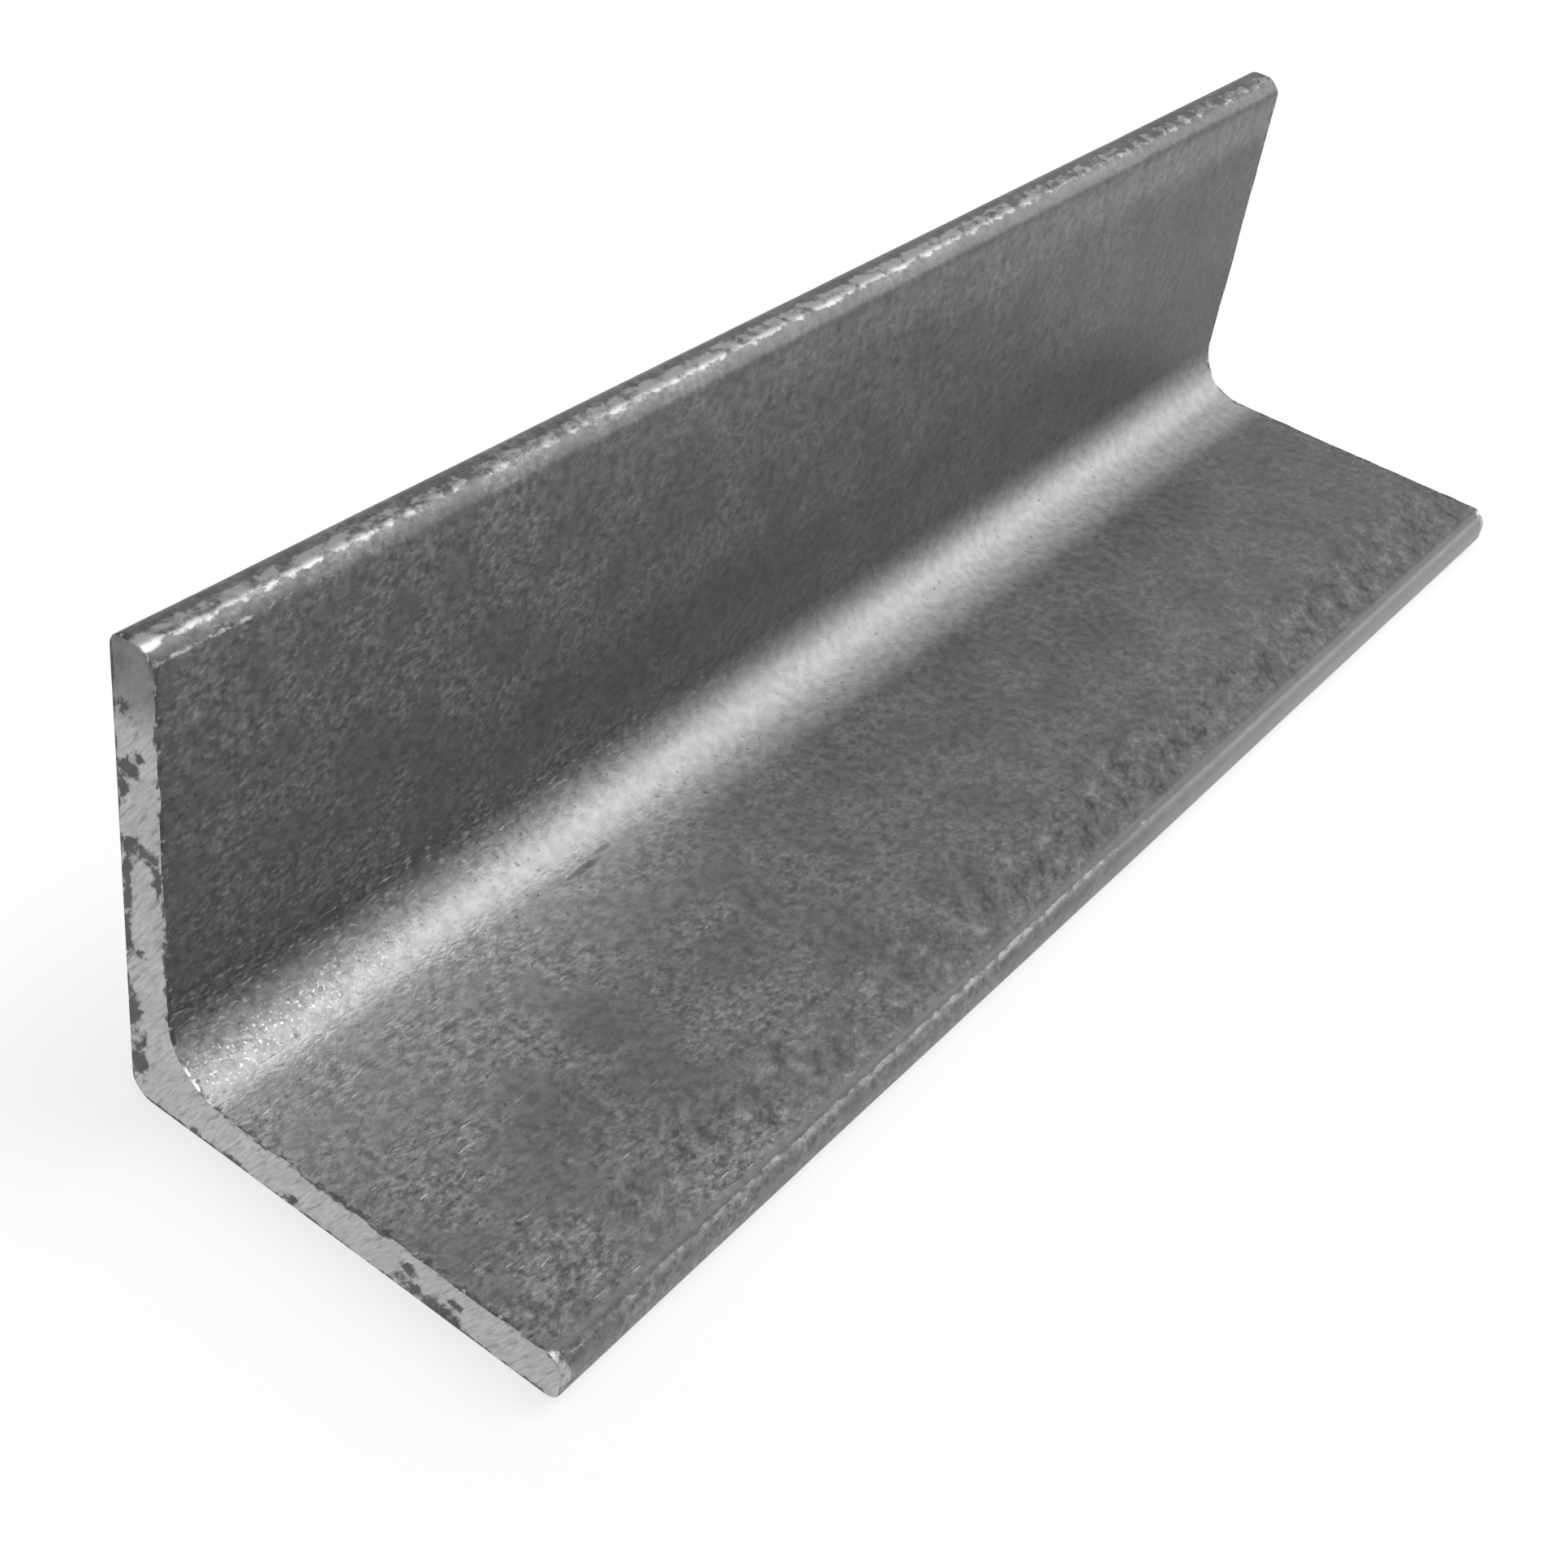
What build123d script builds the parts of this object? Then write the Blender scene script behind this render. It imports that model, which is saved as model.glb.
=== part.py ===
from build123d import *
import os

# A short length of hot-rolled equal-leg steel angle, 50 x 50 x 5 mm, rolled in one piece.
# It lies on the outside of one leg, with the other leg standing up along the -X side.
# +Y runs along its length and +Z is up. The origin is in the middle of the underside of
# its bounding box. The rolled section is drawn in (X, Z). Its rounded heel faces the concave
# root fillet, and each toe has a larger rounding on the inside than on the outside.

os.makedirs("parts", exist_ok=True)

# Driving dimensions, mm
leg_width = 50.0  # outside of the heel to the end of the toe, alike on both legs
leg_thickness = 5.0
length = 190.0  # from one square saw cut to the other
root_radius = 7.0
heel_radius = 2.5
toe_inner_radius = 2.0
toe_flat = 1.5  # what is left flat between the two roundings of a toe

toe_outer_radius = leg_thickness - toe_inner_radius - toe_flat

# Corners of the section before they are rounded, (X, Z)
outside_x = -leg_width / 2
inside_x = outside_x + leg_thickness
heel = (outside_x, 0)
root = (inside_x, leg_thickness)
outer_toes = [(leg_width / 2, 0), (outside_x, leg_width)]
inner_toes = [(leg_width / 2, leg_thickness), (inside_x, leg_width)]

with BuildPart() as angle_section:
    with BuildSketch(Plane.XZ) as section:
        with BuildLine():
            Polyline(heel, outer_toes[0], inner_toes[0], root, inner_toes[1], outer_toes[1], close=True)
        make_face()
        fillet(section.vertices().sort_by_distance(root)[0], radius=root_radius)
        fillet(section.vertices().sort_by_distance(heel)[0], radius=heel_radius)
        for corner in inner_toes:
            fillet(section.vertices().sort_by_distance(corner)[0], radius=toe_inner_radius)
        for corner in outer_toes:
            fillet(section.vertices().sort_by_distance(corner)[0], radius=toe_outer_radius)
    extrude(amount=length / 2, both=True)

angle_section.part.label = "angle_section"
export_step(angle_section.part, "parts/angle_section.step")
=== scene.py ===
"""A short length of hot-rolled equal-leg steel angle: mill-scale skin, two sawn ends, and a plain studio.

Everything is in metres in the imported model's frame. +Y runs along the bar and +Z is up. One leg lies
on the floor and the other stands along the -X side. Reliefs and marks are written in millimetres.
"""
import math

import bpy
import numpy as np
from mathutils import Matrix, Vector


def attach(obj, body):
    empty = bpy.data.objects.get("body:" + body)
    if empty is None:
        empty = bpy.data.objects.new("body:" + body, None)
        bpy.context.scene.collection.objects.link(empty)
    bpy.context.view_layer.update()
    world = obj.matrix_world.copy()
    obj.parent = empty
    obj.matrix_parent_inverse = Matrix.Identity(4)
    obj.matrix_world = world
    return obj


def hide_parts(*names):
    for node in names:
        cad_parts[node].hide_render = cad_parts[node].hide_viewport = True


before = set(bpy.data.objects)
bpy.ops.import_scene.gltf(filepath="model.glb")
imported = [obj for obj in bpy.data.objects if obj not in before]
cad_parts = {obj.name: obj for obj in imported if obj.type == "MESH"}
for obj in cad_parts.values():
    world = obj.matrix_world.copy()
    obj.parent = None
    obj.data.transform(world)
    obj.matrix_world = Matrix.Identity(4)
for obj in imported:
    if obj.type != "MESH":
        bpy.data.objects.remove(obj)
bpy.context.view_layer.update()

MM = 0.001

# The rolled section, in metres
LEG = 50 * MM
THICKNESS = 5 * MM
LENGTH = 190 * MM
ROOT_RADIUS = 7 * MM
HEEL_RADIUS = 2.5 * MM
TOE_INNER_RADIUS = 2 * MM
TOE_OUTER_RADIUS = 1.5 * MM

# How finely the skin is divided round the section and along the bar
OUTER_FLAT, HEEL_HALF = 61, 4
INNER_FLAT, ROOT_HALF = 53, 12
LEG_STEPS = 2 * (OUTER_FLAT + HEEL_HALF)
TOE_OUTER_STEPS, TOE_FLAT_STEPS, TOE_INNER_STEPS = 5, 2, 9
TOE_STEPS = TOE_OUTER_STEPS + TOE_FLAT_STEPS + TOE_INNER_STEPS
ROUND = 2 * (LEG_STEPS + TOE_STEPS)
FIRST_STEP, STEP_GROWTH, COARSE_STEP = 0.04 * MM, 1.2, 0.66 * MM
GROWING_STEPS, GROWING_REACH = 16, 3.7 * MM

# Random reliefs of the skin: cell round the section, cell along the bar, and height in millimetres
SWAY = (13 * MM, 34 * MM, 0.022)
HAMMERING = (4.5 * MM, 8 * MM, 0.010)
CRUST = (1.7 * MM, 2.6 * MM, 0.007)
PITS = (1.5 * MM, 2.0 * MM, 0.05)
LATTICE_GAIN = 2.2  # makes up for what the spline smooths away

# Worn toes, knocks, rims and burr, with heights in millimetres
CHATTER = (1.1 * MM, 2.3 * MM)
INWARD, LEAST_INWARD = 0.05, 0.004  # how far the outside faces lie inside the drawn section
RIM_REACH, OUTER_RIM, INNER_RIM = 0.16 * MM, 0.10, 0.02
TEETH, TOOTH_HEIGHT, TOOTH_REACH, TOOTH_AT_BACK = 1.3 * MM, 0.30, 0.14 * MM, 0.2

# The saw's strokes climb towards the toe at this angle, and its feed leaves a ripple of this depth and pitch
SAW_ANGLE = math.radians(55)
RIPPLE_DEPTH, RIPPLE_PITCH = 0.012 * MM, 2.6 * MM
TOE_PULL = 10  # columns of a sawn end's grid that bend towards a toe

draw = np.random.default_rng(5005)


# ---------------------------------------------------------------- the rolled section

def straight(start, end, steps):
    """Points on a straight run, without its end: start + (end - start) * k / steps."""
    share = np.arange(steps)[:, None] / steps
    return np.asarray(start) + (np.asarray(end) - np.asarray(start)) * share


def rounding(centre, radius, angle_from, angle_to, steps):
    """Points on an arc, without its end: centre + radius * (cos a, sin a), with a in degrees."""
    angle = np.radians(angle_from + (angle_to - angle_from) * np.arange(steps) / steps)
    return np.asarray(centre) + radius * np.column_stack((np.cos(angle), np.sin(angle)))


def section_ring():
    """The closed outline in (X, Z), from the lying toe along the underside, over the heel and up.

    Straight flats and tangent arcs follow one another: underside, heel, outside, upright toe,
    upright inner face, root fillet, lying inner face, lying toe. The heel is at (0, 0) here.
    """
    h, r, ti, to = HEEL_RADIUS, ROOT_RADIUS, TOE_INNER_RADIUS, TOE_OUTER_RADIUS
    t, w = THICKNESS, LEG
    root = t + r
    runs = [
        straight((w - to, 0), (h, 0), OUTER_FLAT),
        rounding((h, h), h, 270, 180, 2 * HEEL_HALF),
        straight((0, h), (0, w - to), OUTER_FLAT),
        rounding((to, w - to), to, 180, 90, TOE_OUTER_STEPS),
        straight((to, w), (t - ti, w), TOE_FLAT_STEPS),
        rounding((t - ti, w - ti), ti, 90, 0, TOE_INNER_STEPS),
        straight((t, w - ti), (t, root), INNER_FLAT),
        rounding((root, root), r, 180, 270, 2 * ROOT_HALF),
        straight((root, t), (w - ti, t), INNER_FLAT),
        rounding((w - ti, t - ti), ti, 90, 0, TOE_INNER_STEPS),
        straight((w, t - ti), (w, to), TOE_FLAT_STEPS),
        rounding((w - to, to), to, 0, -90, TOE_OUTER_STEPS),
    ]
    return np.vstack(runs)


def outward(ring):
    """Unit normals of the closed outline: the run from the point before to the next, turned 90 degrees."""
    along = np.roll(ring, -1, 0) - np.roll(ring, 1, 0)
    along /= np.linalg.norm(along, axis=1, keepdims=True)
    return np.column_stack((-along[:, 1], along[:, 0]))


def girth(ring):
    """Distance round the outline to each point, and the whole way round."""
    steps = np.linalg.norm(np.roll(ring, -1, 0) - ring, axis=1)
    return np.concatenate(([0], np.cumsum(steps)[:-1])), steps.sum()


def stations():
    """Places along the bar: steps grow from a sawn end inwards by a constant factor, to the coarse step."""
    count = int((LENGTH / 2 - GROWING_REACH) / COARSE_STEP) + GROWING_STEPS
    steps = np.minimum(COARSE_STEP, FIRST_STEP * STEP_GROWTH ** np.arange(count))
    reach = np.concatenate(([0], np.cumsum(steps)))
    reach *= LENGTH / 2 / reach[-1]
    return np.concatenate((-LENGTH / 2 + reach, LENGTH / 2 - reach[-2::-1]))


# ---------------------------------------------------------------- reliefs of the skin

def lattice_weights(position, count, closed):
    """Cubic B-spline weights: 2/3 - d^2 + d^3/2 within one cell, (2 - d)^3/6 within two, d in cells."""
    d = np.abs(position[:, None] - np.arange(count))
    if closed:
        d = np.minimum(d, count - d)
    return np.where(d < 1, 2 / 3 - d**2 + d**3 / 2, np.clip(2 - d, 0, None) ** 3 / 6)


def lattice_relief(round_at, round_length, along_at, cell_round, cell_along):
    """A smooth random relief of about -1 to 1: weights along @ random lattice @ weights round."""
    n = max(4, round(round_length / cell_round))
    m = int(LENGTH / cell_along) + 5
    numbers = draw.uniform(-1, 1, (m, n)) * LATTICE_GAIN
    across = lattice_weights(round_at / round_length * n, n, True)
    down = lattice_weights((along_at + LENGTH / 2) / cell_along + 2, m, False)
    return down @ numbers @ across.T


def bell(value, middle, width):
    """exp(-((value - middle) / width)^2)."""
    return np.exp(-(((value - middle) / width) ** 2))


def ease(value, low, high):
    """0 below low, 1 above high and 3k^2 - 2k^3 between, with k the share of the way."""
    k = np.clip((value - low) / (high - low), 0, 1)
    return k * k * (3 - 2 * k)


def knocks(at, length, along, count, size, depth):
    """Handling dents: the sum of -depth * exp(-(round / a)^2 - (along / b)^2) about random places."""
    middle_round = draw.uniform(0, length, count)
    middle_along = draw.uniform(-0.5, 0.5, count) * LENGTH
    a = draw.uniform(0.5, 1, count) * size
    b = a * draw.uniform(1, 2.5, count)
    d = draw.uniform(0.3, 1, count) * depth
    return -(bell(along[:, None], middle_along, b) * d) @ bell(at[:, None], middle_round, a).T


def toe_masks(ring):
    """1 at the middle of each inner toe rounding, falling off as a bell: (upright toe, lying toe)."""
    corner = (THICKNESS - 0.3 * TOE_INNER_RADIUS, LEG - 0.3 * TOE_INNER_RADIUS)
    upright = np.hypot(ring[:, 0] - corner[0], ring[:, 1] - corner[1])
    lying = np.hypot(ring[:, 0] - corner[1], ring[:, 1] - corner[0])
    return bell(upright, 0, 1.0 * MM), bell(lying, 0, 1.0 * MM)


def toe_pits(ring, at, whole, along):
    """Small pits near the lying toe: -depth * clip(relief - 0.35, 0, 1), fading out towards the back."""
    cell_round, cell_along, depth = PITS
    near_toe = bell(ring[:, 0], LEG - 9 * MM, 9 * MM)
    pits = np.clip(lattice_relief(at, whole, along, cell_round, cell_along) - 0.35, 0, 1)
    return -depth * pits * near_toe * ease(-along, -60 * MM, 40 * MM)[:, None]


def toe_wear(ring, at, whole, along):
    """Worn inner toes: -(depth + share * clip(relief + 0.2, 0, 1.2)) under each toe's bell."""
    upright_toe, lying_toe = toe_masks(ring)
    chatter = np.clip(lattice_relief(at, whole, along, *CHATTER) + 0.2, 0, 1.2)
    return -(0.12 + 0.04 * chatter) * upright_toe - (0.06 + 0.02 * chatter) * lying_toe


def saw_burr(at, whole, along, from_end):
    """Teeth of burr at a sawn end: height * clip(relief - 0.05, 0, 1) * exp(-distance from end / reach)."""
    teeth = np.clip(lattice_relief(at, whole, along * 0, TEETH, LENGTH)[:1] - 0.05, 0, 1)
    falling = np.exp(-from_end / TOOTH_REACH) * np.where(along < 0, 1, TOOTH_AT_BACK)
    return TOOTH_HEIGHT * teeth * falling[:, None]


def skin_relief(ring, along):
    """How far the skin stands out from the drawn section, in metres, for every station and outline point.

    It is the sum of the mill's slow sway, its hammering, the crusted scale, pits by the lying toe,
    worn toes, handling knocks, the rounded rims and the saw's burr. Outside faces only go inwards.
    """
    at, whole = girth(ring)
    inner = ease(np.minimum(ring[:, 0], ring[:, 1]), THICKNESS - 0.3 * MM, THICKNESS - 0.05 * MM)
    from_end = LENGTH / 2 - np.abs(along)

    relief = 0
    for cell_round, cell_along, height in (SWAY, HAMMERING, CRUST):
        relief = relief + lattice_relief(at, whole, along, cell_round, cell_along) * height
    relief += toe_pits(ring, at, whole, along) * inner
    relief += toe_wear(ring, at, whole, along)
    relief += knocks(at, whole, along, count=46, size=1.1 * MM, depth=0.06)

    # outside of the section nothing stands beyond the drawn size
    outside = relief - INWARD
    relief = np.where(inner[None, :] > 0, relief * inner + outside * (1 - inner), outside)
    relief = np.where(inner[None, :] >= 1, relief, np.minimum(relief, -LEAST_INWARD))

    rim = np.clip(1 - from_end / RIM_REACH, 0, 1)[:, None] ** 2
    relief -= rim * (OUTER_RIM * (1 - inner) + INNER_RIM * inner)
    return (relief + saw_burr(at, whole, along, from_end) * inner) * MM


# ---------------------------------------------------------------- the sawn ends

OXIDE_SPOTS = [
    # distance from the heel, distance in from the outer face, reach along, reach across, on the upright leg
    (42.9, 2.0, 1.0, 1.3, True),
    (39.2, 3.0, 0.5, 1.4, True),
    (37.2, 1.4, 0.9, 1.9, True),
    (34.8, 0.6, 1.2, 1.2, True),
    (29.3, 2.8, 1.2, 3.4, True),
    (27.0, 4.3, 2.2, 0.9, True),
    (24.8, 0.7, 4.4, 0.8, True),
    (19.0, 0.4, 3.4, 0.9, True),
    (17.6, 2.2, 0.7, 1.3, True),
    (10.2, 0.6, 3.2, 1.3, True),
    (5.6, 0.8, 3.2, 1.8, True),
    (8.0, 0.5, 1.0, 0.8, False),
    (12.6, 0.4, 1.6, 0.9, False),
    (19.6, 0.6, 1.2, 1.1, False),
    (33.1, 3.2, 1.0, 0.9, False),
    (36.0, 0.7, 4.0, 1.4, False),
    (38.6, 2.8, 0.9, 0.8, False),
]


def oxide_field(x, z):
    """Where old oxide darkens a sawn face: the highest of the spots' bells exp(-along^2 - across^2)."""
    place = np.array(OXIDE_SPOTS, float)
    upright = place[:, 4] > 0
    spot_x = np.where(upright, place[:, 1], place[:, 0]) * MM
    spot_z = np.where(upright, place[:, 0], place[:, 1]) * MM
    reach_x = np.where(upright, place[:, 3], place[:, 2]) * MM
    reach_z = np.where(upright, place[:, 2], place[:, 3]) * MM
    bells = bell(x[..., None], spot_x, reach_x) * bell(z[..., None], spot_z, reach_z)
    return bells.max(-1)


def sawn_grid(rim):
    """Inside points of a sawn end, ruled between the outer and inner sides and pulled out to the toes.

    Point (u, v) is outer(u) * (1 - v) + inner(u) * v, plus the gap between each toe's outline and its
    chord at v, fading as (1 - columns / TOE_PULL)^2 away from that toe.
    """
    index = np.arange(ROUND)
    outer = rim[index[: LEG_STEPS + 1]]
    inner = rim[2 * LEG_STEPS + TOE_STEPS - index[: LEG_STEPS + 1]]
    upright_toe = rim[LEG_STEPS + index[: TOE_STEPS + 1]]
    lying_toe = rim[(ROUND - index[: TOE_STEPS + 1]) % ROUND]
    v = (0.5 - 0.5 * np.cos(np.pi * np.arange(TOE_STEPS + 1) / TOE_STEPS))[None, :, None]
    ruled = outer[:, None] * (1 - v) + inner[:, None] * v
    columns = np.arange(LEG_STEPS + 1)[:, None, None]
    by_lying = np.clip(1 - columns / TOE_PULL, 0, 1) ** 2
    by_upright = np.clip(1 - (LEG_STEPS - columns) / TOE_PULL, 0, 1) ** 2
    return ruled + by_lying * (lying_toe - ruled[0])[None] + by_upright * (upright_toe - ruled[-1])[None]


def rim_order():
    """For each point of a sawn end's edge, its place in the section's ring, -1 inside."""
    order = np.full((LEG_STEPS + 1, TOE_STEPS + 1), -1)
    index = np.arange(ROUND)
    order[:, 0] = index[: LEG_STEPS + 1]
    order[:, -1] = 2 * LEG_STEPS + TOE_STEPS - index[: LEG_STEPS + 1]
    order[-1, :] = LEG_STEPS + index[: TOE_STEPS + 1]
    order[0, :] = (ROUND - index[: TOE_STEPS + 1]) % ROUND
    return order


def saw_ripple(x, z):
    """Depth of the saw's feed ripple: RIPPLE_DEPTH * (1 + sin(2 pi p / RIPPLE_PITCH + bow)).

    p is the distance across the strokes, and the bow of two slow sines bends them a little.
    """
    p = z * math.cos(SAW_ANGLE) - x * math.sin(SAW_ANGLE)
    bow = 0.6 * np.sin(x / (7 * MM)) + 0.5 * np.sin(z / (9 * MM) + 1)
    return RIPPLE_DEPTH * (1 + np.sin(2 * np.pi * p / RIPPLE_PITCH + bow))


def unrolled(ring, along):
    """Where each corner of the skin's quads lies on the skin laid flat: (across, along), in metres.

    Across is the distance round the section from the middle of the root fillet, negative towards the
    upright leg's side and positive towards the lying leg's. It ends at the middle of the heel.
    """
    at, whole = girth(ring)
    across = (at - at[LEG_STEPS + TOE_STEPS + LEG_STEPS // 2] + whole / 2) % whole - whole / 2
    beyond = across + np.linalg.norm(np.roll(ring, -1, 0) - ring, axis=1)
    sides = np.stack((across, beyond, beyond, across), -1)
    rows = np.stack((along[:-1], along[:-1], along[1:], along[1:]), -1)
    flat = np.zeros((len(rows), len(sides), 4, 3))
    flat[..., 0], flat[..., 1] = sides[None], rows[:, None]
    return flat.reshape(-1, 3)


def quads(grid):
    """Quads between neighbours of an index grid: (i, j), (i, j + 1), (i + 1, j + 1), (i + 1, j)."""
    return np.stack((grid[:-1, :-1], grid[:-1, 1:], grid[1:, 1:], grid[1:, :-1]), -1).reshape(-1, 4)


def rolled_angle():
    """The whole bar as one closed shell: the section ring at every station, and a ruled grid at each end.

    A skin point is (ring + normal * relief) at its station. An end point lies in the end's plane,
    sunk by the saw's ripple.
    """
    ring, along = section_ring(), stations()
    relief = skin_relief(ring, along)
    skin = ring[None] + outward(ring)[None] * relief[..., None]
    stood = np.broadcast_to(along[:, None], relief.shape)
    places = [np.dstack((skin[..., 0], stood, skin[..., 1])).reshape(-1, 3)]
    oxide = np.zeros(relief.size)

    index = np.arange(relief.size).reshape(relief.shape)
    faces = [quads(np.column_stack((index, index[:, 0])))]
    order, inside = rim_order(), np.s_[1:-1, 1:-1]
    for station, end in ((0, -1), (len(along) - 1, 1)):
        flat = sawn_grid(skin[station])
        x, z = flat[..., 0], flat[..., 1]
        sunk = end * (LENGTH / 2 - saw_ripple(x, z))
        stain = oxide_field(x, z) if end < 0 else oxide_field(z, x)
        cap = np.where(order >= 0, order + station * ROUND, 0)
        cap[inside] = len(oxide) + np.arange(cap[inside].size).reshape(cap[inside].shape)
        places.append(np.dstack((x, sunk, z))[inside].reshape(-1, 3))
        oxide[cap[order >= 0]] = stain[order >= 0]
        oxide = np.concatenate((oxide, stain[inside].ravel()))
        faces.append(quads(cap)[:, :: -end])
    points = np.vstack(places) - (LEG / 2, 0, 0)
    return points, np.vstack(faces), len(faces[0]), oxide, unrolled(ring, along)


def make_piece(name, points, faces, skin_count, oxide, flat, materials):
    """Puts the arrays into a mesh. The first skin_count faces take the first material, the rest the other."""
    mesh = bpy.data.meshes.new(name)
    mesh.from_pydata(points, [], faces)
    mesh.polygons.foreach_set("material_index", (np.arange(len(faces)) >= skin_count).astype(np.int32))
    mesh.polygons.foreach_set("use_smooth", np.ones(len(faces), bool))
    stain = mesh.attributes.new("oxide", "FLOAT", "POINT")
    stain.data.foreach_set("value", oxide.astype(np.float32))
    corners = np.zeros((len(faces) * 4, 3), np.float32)
    corners[: len(flat)] = flat
    unrolled_at = mesh.attributes.new("unrolled", "FLOAT_VECTOR", "CORNER")
    unrolled_at.data.foreach_set("vector", corners.ravel())
    for material in materials:
        mesh.materials.append(material)
    mesh.update()
    piece = bpy.data.objects.new(name, mesh)
    bpy.context.scene.collection.objects.link(piece)
    return piece


# ---------------------------------------------------------------- node helpers

def put(tree, kind, inputs=None, **settings):
    """Adds a node, sets its properties, and gives each input a number or another node's output."""
    node = tree.nodes.new(kind)
    for name, value in settings.items():
        setattr(node, name, value)
    for key, value in (inputs or {}).items():
        if isinstance(value, bpy.types.NodeSocket):
            tree.links.new(value, node.inputs[key])
        else:
            node.inputs[key].default_value = value
    return node


def calc(tree, operation, a, b=0.0, c=0.0, clamp=False):
    """One sum on numbers or node outputs."""
    return put(tree, "ShaderNodeMath", {0: a, 1: b, 2: c}, operation=operation, use_clamp=clamp).outputs[0]


def times(tree, first, *others):
    """The product of all of them."""
    for other in others:
        first = calc(tree, "MULTIPLY", first, other)
    return first


def highest(tree, first, *others):
    """The largest of them."""
    for other in others:
        first = calc(tree, "MAXIMUM", first, other)
    return first


def add(tree, base, value, factor=1.0):
    """base + value * factor."""
    return calc(tree, "MULTIPLY_ADD", value, factor, base)


def fade(tree, value, low, high, at_low=0.0, at_high=1.0):
    """Goes smoothly from at_low to at_high as value goes from low to high."""
    inputs = {"Value": value, "From Min": low, "From Max": high, "To Min": at_low, "To Max": at_high}
    return put(tree, "ShaderNodeMapRange", inputs, interpolation_type="SMOOTHSTEP").outputs[0]


def grey(level):
    """A grey of this level, 0 black to 1 white."""
    return (level, level, level, 1.0)


def mix(tree, share, a, b):
    """A colour share of the way from a to b."""
    return put(tree, "ShaderNodeMix", {0: share, 6: a, 7: b}, data_type="RGBA").outputs[2]


def coat(tree, colour, mask, strength, tone):
    """Lays a grey tone, or another colour, over a colour as far as mask * strength."""
    over = tone if isinstance(tone, bpy.types.NodeSocket) else grey(tone)
    return mix(tree, times(tree, mask, strength), colour, over)


def scaled(tree, colour, factor):
    """A colour times a number."""
    return put(tree, "ShaderNodeVectorMath", {0: colour, "Scale": factor}, operation="SCALE").outputs[0]


def stretched(tree, vector, turn=(0.0, 0.0, 0.0), scale=(1.0, 1.0, 1.0), shift=(0.0, 0.0, 0.0)):
    """A pattern's place turned, scaled and shifted: a scale under 1 draws the pattern out."""
    inputs = {"Vector": vector, "Rotation": turn, "Scale": scale, "Location": shift}
    return put(tree, "ShaderNodeMapping", inputs, vector_type="POINT").outputs[0]


def noise(tree, vector, scale, detail=2.0, roughness=0.5, distortion=0.0):
    """Cloudy noise, about 0 to 1 round a half. scale is its count per metre."""
    inputs = {"Vector": vector, "Scale": scale, "Detail": detail}
    inputs.update({"Roughness": roughness, "Distortion": distortion})
    return put(tree, "ShaderNodeTexNoise", inputs).outputs[0]


def line_at(tree, place, middle, core, reach):
    """A line, 1 within core of middle and 0 beyond reach, all in metres. middle may wander."""
    away = calc(tree, "ABSOLUTE", calc(tree, "SUBTRACT", place, middle))
    return fade(tree, away, reach, core)


def group(name, inputs, outputs):
    """A new shader node group with named number inputs (name, default) and number outputs."""
    tree = bpy.data.node_groups.new(name, "ShaderNodeTree")
    tree.interface.new_socket("Vector", in_out="INPUT", socket_type="NodeSocketVector")
    for label, value in inputs:
        tree.interface.new_socket(label, in_out="INPUT", socket_type="NodeSocketFloat").default_value = value
    for label in outputs:
        tree.interface.new_socket(label, in_out="OUTPUT", socket_type="NodeSocketFloat")
    return tree, tree.nodes.new("NodeGroupInput").outputs, tree.nodes.new("NodeGroupOutput").inputs


def use(tree, which, **inputs):
    """Places a node group in a material with its own values."""
    node = tree.nodes.new("ShaderNodeGroup")
    node.node_tree = which
    for label, value in inputs.items():
        socket = node.inputs[label]
        if isinstance(value, bpy.types.NodeSocket):
            tree.links.new(value, socket)
        else:
            socket.default_value = value
    return node.outputs


# ---------------------------------------------------------------- effects that both finishes share

def steel_grain():
    """Fine grain and broad mottling, each 0 to 1. Grains and Mottles are counts per metre."""
    tree, given, out = group("Steel Grain", [("Grains", 3000.0), ("Mottles", 150.0)], ["Grain", "Mottle"])
    fine = noise(tree, given["Vector"], given["Grains"])
    broad = noise(tree, given["Vector"], given["Mottles"], 5.0, 0.62)
    tree.links.new(fine, out["Grain"])
    tree.links.new(fade(tree, broad, 0.3, 0.7), out["Mottle"])
    return tree


def short_marks():
    """Separate marks with soft ends, 0 to 1, as long as the vector is drawn out. Amount is their rough share.

    A mark stands where noise is above 0.72 - 0.4 * Amount, and is full a twelfth further up.
    """
    tree, given, out = group("Short Marks", [("Marks", 900.0), ("Amount", 0.3)], ["Mark"])
    level = noise(tree, given["Vector"], given["Marks"], 1.5)
    needed = add(tree, 0.72, given["Amount"], -0.4)
    above = calc(tree, "MULTIPLY", calc(tree, "SUBTRACT", level, needed), 12.0, clamp=True)
    tree.links.new(above, out["Mark"])
    return tree


def ragged_patches():
    """Patches with ragged edges, 0 to 1. Cover of 0 gives none and 1 covers all; Softness widens the edge."""
    inputs = [("Patches", 500.0), ("Cover", 0.5), ("Softness", 0.05)]
    tree, given, out = group("Ragged Patches", inputs, ["Patch"])
    torn = noise(tree, given["Vector"], given["Patches"], 7.0, 0.68, 0.3)
    level = fade(tree, torn, 0.28, 0.72)
    gap = calc(tree, "SUBTRACT", calc(tree, "ADD", level, given["Cover"]), 1.0)
    share = calc(tree, "DIVIDE", gap, given["Softness"], clamp=True)
    tree.links.new(share, out["Patch"])
    return tree


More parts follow.
